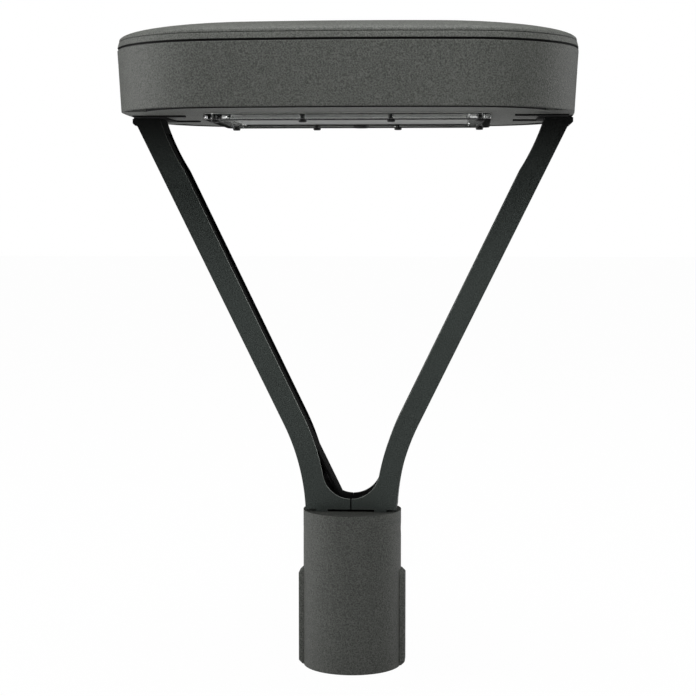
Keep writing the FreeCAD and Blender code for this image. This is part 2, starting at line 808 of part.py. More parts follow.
def make_foot_screws():
    face = sleeve_height - sleeve_top_plate
    return Part.makeCompound([flat_head_screw(foot_screw_d, foot_screw_head_d, foot_screw_head_h,
                                              foot_screw_length, x, y, face)
                              for x, y in four_corners(foot_screw_x, foot_screw_y)])


keep("pole_sleeve", make_pole_sleeve())
keep("set_screws", make_set_screws())
right_arm = make_right_arm()
keep("arm_right", right_arm)
keep("arm_left", mirrored_x(right_arm))
arm_gasket = make_arm_gasket()
keep("arm_gasket_right", arm_gasket)
keep("arm_gasket_left", mirrored_x(arm_gasket))
keep("cable_cover", mirrored_x(make_cable_cover()))
keep("foot_screws", make_foot_screws())
keep("arm_head_screws", make_head_screws())
keep("lower_housing", make_lower_housing())
keep("cover_gasket", make_cover_gasket())
keep("top_cover", make_top_cover())
keep("cover_screws", make_cover_screws())
keep("lens_plate", make_lens_plate())
keep("lens_gasket", make_lens_gasket())
keep("lens_plate_screws", make_plate_screws())
keep("led_board", make_led_board())
keep("led_chips", make_led_chips())
keep("gear_tray", make_gear_tray())
keep("gear_tray_screws", make_tray_screws())
keep("led_driver", make_driver())
keep("surge_protector", make_surge_protector())
keep("terminal_block", make_terminal_block())
keep("cable_gland", make_cable_gland())
keep("blind_plug", make_blind_plug())
keep("vent_valve", make_vent())

os.makedirs("parts", exist_ok=True)
for name, shape in nodes.items():
    shape.exportStep("parts/" + name + ".step")
    print(name, len(shape.Solids), "solids", round(shape.Volume / 1000, 2), "cm3", shape.isValid())
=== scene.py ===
import json
import math

import bmesh
import bpy
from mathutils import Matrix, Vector


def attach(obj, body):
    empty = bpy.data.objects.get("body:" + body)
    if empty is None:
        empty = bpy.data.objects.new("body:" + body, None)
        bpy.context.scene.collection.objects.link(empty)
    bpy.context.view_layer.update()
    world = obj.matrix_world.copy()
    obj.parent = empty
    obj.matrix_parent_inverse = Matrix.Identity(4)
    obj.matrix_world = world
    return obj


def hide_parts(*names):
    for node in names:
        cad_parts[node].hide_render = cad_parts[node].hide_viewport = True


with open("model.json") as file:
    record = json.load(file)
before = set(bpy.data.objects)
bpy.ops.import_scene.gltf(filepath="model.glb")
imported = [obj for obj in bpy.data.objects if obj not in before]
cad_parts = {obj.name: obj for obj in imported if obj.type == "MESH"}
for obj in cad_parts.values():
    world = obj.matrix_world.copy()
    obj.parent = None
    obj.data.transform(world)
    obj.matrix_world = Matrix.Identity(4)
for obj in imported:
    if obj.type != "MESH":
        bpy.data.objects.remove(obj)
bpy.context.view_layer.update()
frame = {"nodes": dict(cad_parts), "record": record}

mm = 0.001
past = 5.0  # a cutting tool reaches this far past what it cuts
bite = 2.0  # a joined lump starts this far inside the body
hair = 0.05  # less than any real step
samePoint = 0.005  # points nearer than this are one
overAll = 600.0  # higher than the whole part
quarterTurn = (0, 0.4, 0.8, 1.2, math.pi / 2)  # points of a rounded edge


# small helpers for modelling by hand, all in millimetres

def deselectAll():
    if bpy.context.mode != "OBJECT":
        bpy.ops.object.mode_set(mode="OBJECT")
    bpy.ops.object.select_all(action="DESELECT")
    bpy.context.view_layer.objects.active = None


def pickAlone(piece):
    deselectAll()
    piece.select_set(True)
    bpy.context.view_layer.objects.active = piece


def edit(piece):
    pickAlone(piece)
    bpy.ops.object.mode_set(mode="EDIT")


def leaveEdit():
    bpy.ops.object.mode_set(mode="OBJECT")


def named(name):
    piece = bpy.context.object
    piece.name = name
    piece.data.name = name
    return piece


def pick(piece, kind, wanted):
    bpy.ops.mesh.select_mode(type=kind)
    bpy.ops.mesh.select_all(action="DESELECT")
    mesh = bmesh.from_edit_mesh(piece.data)
    for item in {"VERT": mesh.verts, "EDGE": mesh.edges}[kind]:
        if wanted(item):
            item.select_set(True)
    mesh.select_flush_mode()
    bmesh.update_edit_mesh(piece.data)


def isUpright(edge):
    return abs(edge.verts[0].co.z - edge.verts[1].co.z) > 2 * hair * mm


def isAtHeight(edge, z):
    return all(abs(v.co.z - z * mm) < hair * mm for v in edge.verts)


def startPoint(name, x, y, z):  # a single point, from a small plane merged to its middle
    deselectAll()
    bpy.ops.mesh.primitive_plane_add(size=mm)
    piece = named(name)
    bpy.ops.object.mode_set(mode="EDIT")
    bpy.ops.mesh.select_mode(type="VERT")
    bpy.ops.mesh.merge(type="CENTER")
    bpy.ops.transform.translate(value=(x * mm, y * mm, z * mm))
    return piece


def drawBy(x, y, z):
    bpy.ops.mesh.extrude_vertices_move(TRANSFORM_OT_translate={"value": (x * mm, y * mm, z * mm)})


def turnBy(steps, angle, x, y, z, axis):
    bpy.ops.mesh.spin(steps=steps, angle=angle, center=(x * mm, y * mm, z * mm), axis=axis)


def closeUp():
    bpy.ops.mesh.select_all(action="SELECT")
    bpy.ops.mesh.remove_doubles(threshold=samePoint * mm)


def faceOutwards():
    bpy.ops.mesh.select_all(action="SELECT")
    bpy.ops.mesh.normals_make_consistent(inside=False)
    leaveEdit()


def rod(name, radius, low, high, x=0.0, y=0.0, sides=48):
    deselectAll()
    bpy.ops.mesh.primitive_cylinder_add(vertices=sides, radius=radius * mm, depth=(high - low) * mm,
                                        location=(x * mm, y * mm, (low + high) / 2 * mm))
    return named(name)


def sideRod(name, radius, low, high, z, sides=48):
    deselectAll()
    bpy.ops.mesh.primitive_cylinder_add(vertices=sides, radius=radius * mm, depth=(high - low) * mm,
                                        location=((low + high) / 2 * mm, 0, z * mm),
                                        rotation=(0, math.pi / 2, 0))
    return named(name)


def brick(name, xs, ys, zs):
    deselectAll()
    middle = [(low + high) / 2 * mm for low, high in (xs, ys, zs)]
    bpy.ops.mesh.primitive_cube_add(size=1, location=middle,
                                    scale=[(high - low) * mm for low, high in (xs, ys, zs)])
    piece = named(name)
    bpy.ops.object.transform_apply(location=True, rotation=True, scale=True)
    return piece


def softBrick(name, width, depth, corner, low, high, steps=8):
    piece = brick(name, (-width / 2, width / 2), (-depth / 2, depth / 2), (low, high))
    edit(piece)
    pick(piece, "EDGE", isUpright)
    bpy.ops.mesh.bevel(offset=corner * mm, segments=steps)
    leaveEdit()
    return piece


def applied(piece, kind, **settings):
    pickAlone(piece)
    step = piece.modifiers.new("step", kind)
    for name, value in settings.items():
        setattr(step, name, value)
    bpy.ops.object.modifier_apply(modifier="step")


def carve(piece, tool, way="DIFFERENCE"):
    applied(piece, "BOOLEAN", operation=way, solver="EXACT", object=tool)
    bpy.data.objects.remove(tool)


def softEdges(piece, width, steps, angle):
    applied(piece, "BEVEL", width=width * mm, segments=steps, limit_method="ANGLE",
            angle_limit=math.radians(angle))


def copied(piece, x, y):
    twin = piece.copy()
    twin.data = piece.data.copy()
    bpy.context.scene.collection.objects.link(twin)
    twin.location = (x * mm, y * mm, 0)
    return twin


def fourCorners(x, y):
    return [(side * x, end * y) for side in (-1, 1) for end in (-1, 1)]


def finished(piece, slot, node, smooth=35):
    pickAlone(piece)
    bpy.ops.object.transform_apply(location=True, rotation=True, scale=True)
    bpy.ops.object.shade_smooth_by_angle(angle=math.radians(smooth))
    applied(piece, "WEIGHTED_NORMAL", weight=100, keep_sharp=True)  # large faces stay flat beside soft edges
    piece.data.materials.clear()
    piece.data.materials.append(materials[slot])
    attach(piece, "root")
    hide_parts(node)


def shadePaint(piece, amount, inShade):  # marks faces that get painted shade in the coat's material
    layer = piece.data.attributes.get("shadePaint") or piece.data.attributes.new("shadePaint", "FLOAT", "FACE")
    for face in piece.data.polygons:
        if inShade(face.center / mm, face.normal):
            layer.data[face.index].value = amount


# materials: a value is another node's output or a plain number or colour

def plug(tree, value, socket):
    if isinstance(value, bpy.types.NodeSocket):
        tree.links.new(value, socket)
    elif socket.type == "RGBA":
        socket.default_value = (*value, 1)
    else:
        socket.default_value = value


def newMaterial(name, colour, roughness, metallic=0.0, gloss=0.5):
    material = bpy.data.materials.new(name)
    material.use_nodes = True
    tree = material.node_tree
    shader = tree.nodes["Principled BSDF"]
    plug(tree, colour, shader.inputs["Base Color"])
    plug(tree, roughness, shader.inputs["Roughness"])
    plug(tree, metallic, shader.inputs["Metallic"])
    plug(tree, gloss, shader.inputs["Specular IOR Level"])
    return material, tree, shader


def objectPoint(tree):
    return tree.nodes.new("ShaderNodeTexCoord").outputs["Object"]


def axes(tree, point):
    node = tree.nodes.new("ShaderNodeSeparateXYZ")
    plug(tree, point, node.inputs[0])
    return node.outputs


def noise(tree, point, scale, detail, rough):
    node = tree.nodes.new("ShaderNodeTexNoise")
    plug(tree, point, node.inputs["Vector"])
    plug(tree, scale, node.inputs["Scale"])
    plug(tree, detail, node.inputs["Detail"])
    plug(tree, rough, node.inputs["Roughness"])
    return node.outputs["Fac"]


def ramp(tree, value, stops):
    node = tree.nodes.new("ShaderNodeValToRGB")
    points = node.color_ramp.elements
    while len(points) < len(stops):
        points.new(0.5)
    for point, (place, colour) in zip(points, stops):
        point.position = place
        point.color = (*colour, 1)
    plug(tree, value, node.inputs["Fac"])
    return node.outputs["Color"]


def reckon(tree, way, first, second=0.0):
    node = tree.nodes.new("ShaderNodeMath")
    node.operation = way
    plug(tree, first, node.inputs[0])
    plug(tree, second, node.inputs[1])
    return node.outputs[0]


def fade(tree, value, start, end):
    node = tree.nodes.new("ShaderNodeMapRange")
    node.interpolation_type = "SMOOTHSTEP"
    plug(tree, value, node.inputs["Value"])
    plug(tree, start, node.inputs["From Min"])
    plug(tree, end, node.inputs["From Max"])
    return node.outputs["Result"]


def fadeOver(tree, length, start, end):
    return fade(tree, length, start * mm, end * mm)


def blend(tree, share, first, second, way="MIX"):
    node = tree.nodes.new("ShaderNodeMix")
    node.data_type = "RGBA"
    node.blend_type = way
    plug(tree, share, node.inputs[0])
    plug(tree, first, node.inputs[6])
    plug(tree, second, node.inputs[7])
    return node.outputs[2]


def blendNumber(tree, share, first, second):
    node = tree.nodes.new("ShaderNodeMix")
    plug(tree, share, node.inputs[0])
    plug(tree, first, node.inputs[2])
    plug(tree, second, node.inputs[3])
    return node.outputs[0]


def blendShader(tree, share, first, second):
    node = tree.nodes.new("ShaderNodeMixShader")
    for value, socket in zip((share, first, second), node.inputs):
        tree.links.new(value, socket)
    return node.outputs[0]


def bump(tree, height, strength, distance):
    node = tree.nodes.new("ShaderNodeBump")
    plug(tree, height, node.inputs["Height"])
    plug(tree, strength, node.inputs["Strength"])
    plug(tree, distance, node.inputs["Distance"])
    return node.outputs["Normal"]


grain = {"detail": 3.0, "rough": 0.65, "darkAt": 0.36, "baseAt": 0.5, "lightAt": 0.64}
patches = {"detail": 3.0, "rough": 0.5, "dullAt": 0.3, "cleanAt": 0.7}


def grained(name, look):
    base, metallic = look["colour"], look.get("metallic", 0.0)
    material, tree, shader = newMaterial(name, base, look["roughness"], metallic, look["gloss"])
    point = objectPoint(tree)
    grains = noise(tree, point, look["grainScale"], grain["detail"], grain["rough"])
    clouds = noise(tree, point, look["patchScale"], patches["detail"], patches["rough"])
    dark = [c * (1 - look["speckle"]) for c in base]
    light = [c * (1 + look["speckle"]) for c in base]
    speckled = ramp(tree, grains, ((grain["darkAt"], dark), (grain["baseAt"], base),
                                   (grain["lightAt"], light)))
    clouded = ramp(tree, clouds, ((patches["dullAt"], [1 - look["patch"]] * 3),
                                  (patches["cleanAt"], [1.0] * 3)))
    plug(tree, blend(tree, 1.0, speckled, clouded, "MULTIPLY"), shader.inputs["Base Color"])
    plug(tree, bump(tree, grains, look["bump"], look["bumpDepth"]), shader.inputs["Normal"])
    return material


looks = {
    "coated_casting": {"colour": (0.083, 0.087, 0.079), "roughness": 0.6, "gloss": 0.3, "grainScale": 850.0,
                       "patchScale": 9.0, "speckle": 0.5, "patch": 0.1, "bump": 0.6, "bumpDepth": 0.0007},
    "coated_arm": {"colour": (0.043, 0.051, 0.047), "roughness": 0.55, "gloss": 0.15, "grainScale": 1000.0,
                   "patchScale": 7.0, "speckle": 0.35, "patch": 0.12, "bump": 0.45, "bumpDepth": 0.0005},
    "black_rubber": {"colour": (0.004, 0.004, 0.004), "roughness": 0.85, "gloss": 0.1, "grainScale": 700.0,
                     "patchScale": 30.0, "speckle": 0.3, "patch": 0.1, "bump": 0.3, "bumpDepth": 0.0003},
    "pale_silicone": {"colour": (0.7, 0.7, 0.68), "roughness": 0.5, "gloss": 0.4, "grainScale": 600.0,
                      "patchScale": 30.0, "speckle": 0.05, "patch": 0.05, "bump": 0.2, "bumpDepth": 0.0002},
    "stainless": {"colour": (0.5, 0.5, 0.49), "metallic": 1.0, "roughness": 0.32, "gloss": 0.5,
                  "grainScale": 1200.0, "patchScale": 60.0, "speckle": 0.12, "patch": 0.1, "bump": 0.15,
                  "bumpDepth": 0.0001},
    "black_screw": {"colour": (0.012, 0.012, 0.012), "roughness": 0.42, "gloss": 0.3, "grainScale": 1200.0,
                    "patchScale": 60.0, "speckle": 0.3, "patch": 0.2, "bump": 0.2, "bumpDepth": 0.0001},
    "white_board": {"colour": (0.66, 0.67, 0.65), "roughness": 0.4, "gloss": 0.4, "grainScale": 400.0,
                    "patchScale": 25.0, "speckle": 0.03, "patch": 0.04, "bump": 0.1, "bumpDepth": 0.0001},
    "led_phosphor": {"colour": (0.82, 0.6, 0.1), "roughness": 0.35, "gloss": 0.5, "grainScale": 1500.0,
                     "patchScale": 90.0, "speckle": 0.08, "patch": 0.08, "bump": 0.1, "bumpDepth": 0.0001},
    "zinc_sheet": {"colour": (0.55, 0.56, 0.57), "metallic": 0.9, "roughness": 0.42, "gloss": 0.5,
                   "grainScale": 300.0, "patchScale": 40.0, "speckle": 0.12, "patch": 0.15, "bump": 0.1,
                   "bumpDepth": 0.0002},
    "driver_case": {"colour": (0.6, 0.61, 0.61), "metallic": 0.3, "roughness": 0.45, "gloss": 0.5,
                    "grainScale": 900.0, "patchScale": 20.0, "speckle": 0.06, "patch": 0.08, "bump": 0.15,
                    "bumpDepth": 0.0002},
    "grey_plastic": {"colour": (0.26, 0.27, 0.28), "roughness": 0.5, "gloss": 0.4, "grainScale": 1500.0,
                     "patchScale": 30.0, "speckle": 0.08, "patch": 0.06, "bump": 0.25, "bumpDepth": 0.0002},
    "black_plastic": {"colour": (0.015, 0.015, 0.015), "roughness": 0.5, "gloss": 0.35, "grainScale": 1500.0,
                      "patchScale": 30.0, "speckle": 0.2, "patch": 0.1, "bump": 0.25, "bumpDepth": 0.0002},
}

shadeLeft = 0.03  # share of the coat's colour that a face under painted shade keeps


# painted shade: the coat's colour is darkened on faces marked by the attribute, standing for shadow in gaps,
# grooves and on rounded edges
def darkenShadedFaces(material, left):
    tree = material.node_tree
    colour = tree.nodes["Principled BSDF"].inputs["Base Color"]
    shadeMark = tree.nodes.new("ShaderNodeAttribute")
    shadeMark.attribute_name = "shadePaint"
    coat = colour.links[0].from_socket
    plug(tree, blend(tree, shadeMark.outputs["Fac"], coat, [left] * 3, "MULTIPLY"), colour)


# painted shade keeps the inside of the channel and of the V, the joint between the arms and the arm tops under
# the head nearly black, and a painted highlight makes the channel's inner edges a lighter line
armPaintedLight = {"left": 0.02, "inward": (-0.5, -0.15), "channel": (17.9, 17.2), "seam": (0.8, 0.45),
          "neck": (432.0, 497.0), "highlightColour": (0.32, 0.34, 0.32), "highlightInward": (0.05, 0.35),
          "highlightDepth": (18.0, 18.35)}


def hollowShade(material, look):
    tree = material.node_tree
    shader = tree.nodes["Principled BSDF"]
    coat = shader.inputs["Base Color"].links[0].from_socket
    x, y, z = axes(tree, objectPoint(tree))
    facingX, _, facingZ = axes(tree, tree.nodes.new("ShaderNodeNewGeometry").outputs["Normal"])
    outward = reckon(tree, "MULTIPLY", reckon(tree, "SIGN", x), facingX)
    inward = reckon(tree, "SUBTRACT", facingZ, outward)
    depth = reckon(tree, "ABSOLUTE", y)
    # painted shade along the joint between the two arms
    seam = fadeOver(tree, reckon(tree, "ABSOLUTE", x), *look["seam"])
    channel = reckon(tree, "MULTIPLY", fade(tree, inward, *look["inward"]),
                     fadeOver(tree, depth, *look["channel"]))
    shadedHollow = reckon(tree, "MAXIMUM", seam, channel)
    # painted shadow of the head: the arms darken towards their tops
    dark = reckon(tree, "MAXIMUM", shadedHollow, fadeOver(tree, z, *look["neck"]))
    # painted highlight on the channel's inner front edges
    edge = reckon(tree, "MULTIPLY", fade(tree, inward, *look["highlightInward"]),
                  fadeOver(tree, depth, *look["highlightDepth"]))
    highlighted = blend(tree, edge, coat, look["highlightColour"])
    plug(tree, blend(tree, dark, highlighted, [look["left"]] * 3, "MULTIPLY"), shader.inputs["Base Color"])
    dull = blendNumber(tree, shadedHollow, shader.inputs["Roughness"].default_value, 1.0)
    plug(tree, dull, shader.inputs["Roughness"])


clear = {"colour": (0.93, 0.95, 0.93), "roughness": 0.03, "ior": 1.49, "detail": 2.0,
         "waveScale": 60.0, "waveRough": 0.4, "bump": 0.15, "bumpDepth": 0.0004,
         "dustScale": 300.0, "dustRough": 0.5, "dust": 0.05, "dustFrom": 0.35, "dustTo": 0.75,
         "satinHalf": (102.0, 58.0), "satinSoft": 2.0, "satinRough": 0.3, "satinColour": (0.5, 0.52, 0.5),
         "rearHalf": 104.0, "rearY": 60.0, "rearLow": 486.5, "rearThick": 0.4,
         "rearShadeColour": (0.01, 0.01, 0.01)}


def clearPlastic(name, look):
    material, tree, shader = newMaterial(name, look["colour"], look["roughness"])
    plug(tree, 1.0, shader.inputs["Transmission Weight"])
    plug(tree, look["ior"], shader.inputs["IOR"])
    point = objectPoint(tree)
    x, y, z = axes(tree, point)
    aside = reckon(tree, "ABSOLUTE", x)
    waves = noise(tree, point, look["waveScale"], look["detail"], look["waveRough"])
    plug(tree, bump(tree, waves, look["bump"], look["bumpDepth"]), shader.inputs["Normal"])
    specks = noise(tree, point, look["dustScale"], look["detail"], look["dustRough"])
    dust = ramp(tree, specks, ((look["dustFrom"], [look["roughness"]] * 3),
                               (look["dustTo"], [look["roughness"] + look["dust"]] * 3)))
    soft = look["satinSoft"]
    fields = [fadeOver(tree, reach, half + soft, half - soft)
              for reach, half in zip((aside, reckon(tree, "ABSOLUTE", y)), look["satinHalf"])]
    satin = reckon(tree, "MULTIPLY", *fields)  # the recessed field is a little frosted
    plug(tree, blendNumber(tree, satin, dust, look["satinRough"]), shader.inputs["Roughness"])
    thick = look["rearThick"]  # painted shade: the upper part of the recess's rear wall is coloured black
    behind = reckon(tree, "ABSOLUTE", reckon(tree, "SUBTRACT", y, look["rearY"] * mm))
    wall = reckon(tree, "MULTIPLY", fadeOver(tree, behind, 2 * thick, thick),
                  fadeOver(tree, aside, look["rearHalf"] + thick, look["rearHalf"]))
    rearShade = reckon(tree, "MULTIPLY", wall, fadeOver(tree, z, look["rearLow"], look["rearLow"] + thick))
    frosted = blend(tree, satin, look["colour"], look["satinColour"])
    plug(tree, blend(tree, rearShade, frosted, look["rearShadeColour"]), shader.inputs["Base Color"])
    return material


materials = {slot: grained(slot, look) for slot, look in looks.items()}
materials["clear_lens"] = clearPlastic("clear_lens", clear)
darkenShadedFaces(materials["coated_casting"], shadeLeft)
hollowShade(materials["coated_arm"], armPaintedLight)
for part in frame["record"]["subparts"]:
    node = frame["nodes"][part["node"]]
    node.data.materials.clear()
    node.data.materials.append(materials[part["material_slot"]])
print("materials done")


# head outline: four bulged sides and four corners, all tangent arcs, swept round by spins

headPlan = {"width": 393.0, "depth": 343.9, "frontBulge": 1052.0, "sideBulge": 1051.0, "corner": 99.0,
            "sideSteps": 9, "cornerSteps": 26, "frontSteps": 24, "screws": (160.5, 112.0)}


def headArcs(plan):  # centre, angle and steps of each arc, from the middle of the right side round the back
    backY = plan["depth"] / 2 - plan["frontBulge"]
    sideX = plan["width"] / 2 - plan["sideBulge"]
    toBack = plan["frontBulge"] - plan["corner"]
    toSide = plan["sideBulge"] - plan["corner"]
    span = math.hypot(sideX, backY)
    onSpan = (span ** 2 + toBack ** 2 - toSide ** 2) / (2 * span)
    offSpan = math.sqrt(toBack ** 2 - onSpan ** 2)
    ux, uy = sideX / span, -backY / span
    cornerX = ux * onSpan + uy * offSpan
    cornerY = backY + uy * onSpan - ux * offSpan
    sideTurn = math.atan2(cornerY, cornerX - sideX)
    backTurn = math.atan2(cornerX, cornerY - backY)
    cornerTurn = math.pi / 2 - sideTurn - backTurn
    corners = [(toRight * cornerX, toRear * cornerY, cornerTurn, plan["cornerSteps"])
               for toRight, toRear in ((1, 1), (-1, 1), (-1, -1), (1, -1))]
    halfSide = (sideX, 0, sideTurn, plan["sideSteps"])
    leftSide = (-sideX, 0, 2 * sideTurn, 2 * plan["sideSteps"])
    back, front = [(0, y, 2 * backTurn, 2 * plan["frontSteps"]) for y in (backY, -backY)]
    bulges = [back, leftSide, front, halfSide]
    arcs = [halfSide]
    for corner, bulge in zip(corners, bulges):
        arcs += [corner, bulge]
    return arcs


def sweepRound(plan):
    for x, y, angle, steps in headArcs(plan):
        turnBy(steps, angle, x, y, 0, (0, 0, -1))
    closeUp()


def profileAtSide(name, plan, profile):
    (inset, z), rest = profile[0], profile[1:]
    piece = startPoint(name, plan["width"] / 2 - inset, 0, z)
    for nextInset, nextZ in rest:
        drawBy(inset - nextInset, 0, nextZ - z)
        inset, z = nextInset, nextZ
    bpy.ops.mesh.select_all(action="SELECT")
    return piece


def capLoops(piece, levels):
    for z in levels:
        pick(piece, "EDGE", lambda edge: edge.is_boundary and isAtHeight(edge, z))
        bpy.ops.mesh.edge_face_add()


# lower housing: drafted wall on a rounded foot, drip groove behind the foot, floor with the light window

housing = {"low": 491.1, "seam": 543.2, "draft": 2.9, "wall": 3.2, "floor": 5.0, "foot": 0.9, "edge": 0.9,
           "rebate": (1.3, 0.5), "wallRings": (505.0, 518.0, 531.0), "groove": (17.5, 2.4), "lip": 0.6,
           "lipSlant": 0.3, "lipEdge": 0.2, "plainFrom": 150.0, "plainHalf": 98.0,  # no groove beside the arms
           "window": (230.0, 126.0, 6.0), "windowTop": 495.1, "deck": (242.0, 138.0, 6.0), "deckTop": 500.1,
           "cableX": 179.8, "cableRadius": 5.0, "postRadius": 6.0, "postGap": 0.1,
           "roundingShade": 0.5, "shadedRim": 0.2, "shadedFoot": 0.3, "wallFacing": -0.1, "ceilingFacing": -0.95}


def draftAt(look, z):
    return look["draft"] * (look["seam"] - z) / (look["seam"] - look["low"])


def grooveSeat(look, side, inset, high):  # fills the groove beside an arm
    low = look["low"]
    seat = profileAtSide("seat", headPlan, [(inset, low), (inset, high)])
    sweepRound(headPlan)
    capLoops(seat, (low, high))
    faceOutwards()
    reach = sorted((side * look["plainFrom"], side * (headPlan["width"] / 2 + past)))
    stretch = brick("armStretch", reach, (-look["plainHalf"], look["plainHalf"]), (low - past, high + past))
    carve(seat, stretch, "INTERSECT")
    return seat


def makeHousing(look):
    low, seam, foot, edge = look["low"], look["seam"], look["foot"], look["edge"]
    rebateInset, rebateDrop = look["rebate"]
    rim, floorTop = seam - rebateDrop, low + look["floor"]
    footInset = draftAt(look, low + foot)
    lipInset = footInset + foot + look["lip"]
    grooveInset, ceiling = lipInset + look["groove"][0], low + look["groove"][1]
    profile = [(grooveInset, low), (grooveInset, ceiling), (lipInset + look["lipSlant"], ceiling),
               (lipInset, low + look["lipEdge"]), (lipInset - look["lipEdge"], low)]
    profile += [(footInset + foot * (1 - math.sin(turn)), low + foot * (1 - math.cos(turn)))
                for turn in quarterTurn]
    profile += [(draftAt(look, z), z) for z in look["wallRings"]]
    profile += [(edge * (1 - math.cos(turn)), rim - edge * (1 - math.sin(turn)))
                for turn in quarterTurn]
    profile += [(rebateInset, rim), (rebateInset, seam), (look["wall"], seam)]
    profile += [(draftAt(look, floorTop) + look["wall"], floorTop)]
    piece = profileAtSide("lowerHousing", headPlan, profile)
    sweepRound(headPlan)
    capLoops(piece, (low, floorTop))
    faceOutwards()
    carve(piece, softBrick("deck", *look["deck"], floorTop - bite, look["deckTop"]), "UNION")
    for x, y in fourCorners(*headPlan["screws"]):
        post = rod("post", look["postRadius"], floorTop - bite, seam - look["postGap"], x, y, 32)
        carve(piece, post, "UNION")
    for side in (-1, 1):
        carve(piece, grooveSeat(look, side, lipInset - look["lip"] / 2, ceiling + bite / 2), "UNION")
    carve(piece, softBrick("window", *look["window"], low - past, look["windowTop"]))
    for side in (-1, 1):
        carve(piece, rod("cableWay", look["cableRadius"], low - past, floorTop + past, side * look["cableX"]))
    edit(piece)
    closeUp()
    finished(piece, "coated_casting", "lower_housing")

    def onRounding(place, facing):
        atRim = rim - look["shadedRim"] < place.z < rim
        atFoot = low < place.z < low + look["shadedFoot"] and facing.xy.dot(place.xy) > 0
        return atRim or atFoot

    def inSeam(place, facing):
        return rim - hair < place.z < (rim + seam) / 2 + hair

    def inGroove(place, facing):
        within = low + hair < place.z < ceiling + hair and abs(place.y) > look["plainHalf"] + hair
        upright = facing.z > look["wallFacing"] or facing.xy.dot(place.xy) < 0
        return within and (upright or facing.z < look["ceilingFacing"])

    # painted shade: the rounded rim under the seam and the outer foot rounding are half darkened, the seam
    # rebate and the drip groove are darkened fully
    shadePaint(piece, look["roundingShade"], onRounding)
    shadePaint(piece, 1.0, inSeam)
    shadePaint(piece, 1.0, inGroove)


# top cover: drafted band, crease, low crown, screw pockets in the corners

cover = {"low": 544.2, "crease": 550.2, "bandInset": 1.4, "rise": 18.0, "rimPower": 1.9, "rootPower": 2.15,
         "wall": 2.8, "rebateInset": 1.3, "hollowStart": 0.2, "hollowBelow": 1.0, "hollowBandTop": 547.4,
         "pocketRadius": 6.5, "pocketFloor": 552.7, "screwRadius": 2.7,
         "band": ((0.4, 544.45), (0.15, 544.7), (1.1, 548.6), (1.25, 548.95), (1.5, 549.15), (2.0, 549.2),
                  (2.0, 549.75), (1.6, 549.8), (1.45, 550.0)),
         "steps": (0.0012, 0.004, 0.009, 0.016, 0.026, 0.04, 0.058, 0.08, 0.107, 0.14, 0.18,  # close at the rim
                   0.225, 0.28, 0.345, 0.42, 0.5, 0.59, 0.68, 0.77, 0.86, 0.94)}


def growRing(ring, nextRing):
    (scale, z), (nextScale, nextZ) = ring, nextRing
    bpy.ops.mesh.extrude_edges_move(TRANSFORM_OT_translate={"value": (0, 0, (nextZ - z) * mm)})
    bpy.ops.transform.resize(value=(nextScale / scale, nextScale / scale, 1),
                             center_override=(0, 0, nextZ * mm))
    return nextRing


def ringAt(inset, z):
    return 1 - inset / (headPlan["width"] / 2), z


def crownAt(look, t):  # height above the crease, where t runs from the rim to the middle
    return look["rise"] * (1 - (1 - t) ** look["rimPower"]) ** (1 / look["rootPower"])


def crownRings(look, drop):
    bandScale = ringAt(look["bandInset"], 0)[0]
    return [(bandScale * (1 - t), look["crease"] - drop + crownAt(look, t)) for t in look["steps"]]


def crownBody(name, look, band, drop):
    piece = profileAtSide(name, headPlan, [band[0]])
    sweepRound(headPlan)
    ring = ringAt(*band[0])
    for nextRing in [ringAt(*point) for point in band[1:]] + crownRings(look, drop):
        ring = growRing(ring, nextRing)
    top = look["crease"] + look["rise"] - drop
    bpy.ops.mesh.extrude_edges_move(TRANSFORM_OT_translate={"value": (0, 0, (top - ring[1]) * mm)})
    bpy.ops.mesh.merge(type="CENTER")
    return piece


def coverHollow(look):
    below, wall = look["low"] - look["hollowBelow"], look["wall"]
    band = ((wall + look["hollowStart"], below), (wall + look["bandInset"], look["hollowBandTop"]))
    piece = crownBody("coverHollow", look, band, wall)
    capLoops(piece, (below,))
    faceOutwards()
    for x, y in fourCorners(*headPlan["screws"]):
        carve(piece, rod("boss", look["pocketRadius"] + wall, look["low"] - past, overAll, x, y))
    return piece


def makeCover(look):
    low, start = look["low"], look["band"][0]
    piece = crownBody("topCover", look, look["band"], 0.0)
    pick(piece, "EDGE", lambda edge: edge.is_boundary)
    ring = growRing(ringAt(*start), ringAt(look["rebateInset"], start[1]))
    growRing(ring, ringAt(look["rebateInset"], low))
    capLoops(piece, (low,))
    faceOutwards()
    carve(piece, coverHollow(look))
    for x, y in fourCorners(*headPlan["screws"]):
        carve(piece, rod("pocket", look["pocketRadius"], look["pocketFloor"], overAll, x, y))
        carve(piece, rod("screwHole", look["screwRadius"], low - past, overAll, x, y, 24))
    finished(piece, "coated_casting", "top_cover")
    # painted shade in the rebate under the cover's band
    shadePaint(piece, 1.0, lambda place, facing: place.z < start[1] + hair)


# pole sleeve: closed top, outside ribs, set screw holes

sleeve = {"radius": 44.0, "bore": 39.0, "height": 141.4, "boreTop": 133.4, "rimEdge": 1.2, "footEdge": 0.4,
          "ribRoot": 40.0, "ribReach": 48.0, "ribHalf": 8.0, "ribTop": 87.5, "ribSlope": 3.5, "ribEdge": 0.8,
          "holeRadius": 4.05, "holes": (20.0, 123.0), "spotRadius": 6.5, "spotDepth": 1.1, "toolReach": 60.0,
          "cableRadius": 12.0, "shadePaint": 0.17}


def sleeveRib(look, side):
    rib = brick("rib", sorted((side * look["ribRoot"], side * look["ribReach"])),
                (-look["ribHalf"], look["ribHalf"]), (0, look["ribTop"]))
    edit(rib)
    outer = look["radius"] * mm
    pick(rib, "EDGE", lambda edge: not isUpright(edge) and all(side * v.co.x > outer for v in edge.verts))
    bpy.ops.mesh.bevel(offset=look["ribSlope"] * mm, segments=1)
    leaveEdit()
    softEdges(rib, look["ribEdge"], 3, 30)
    return rib


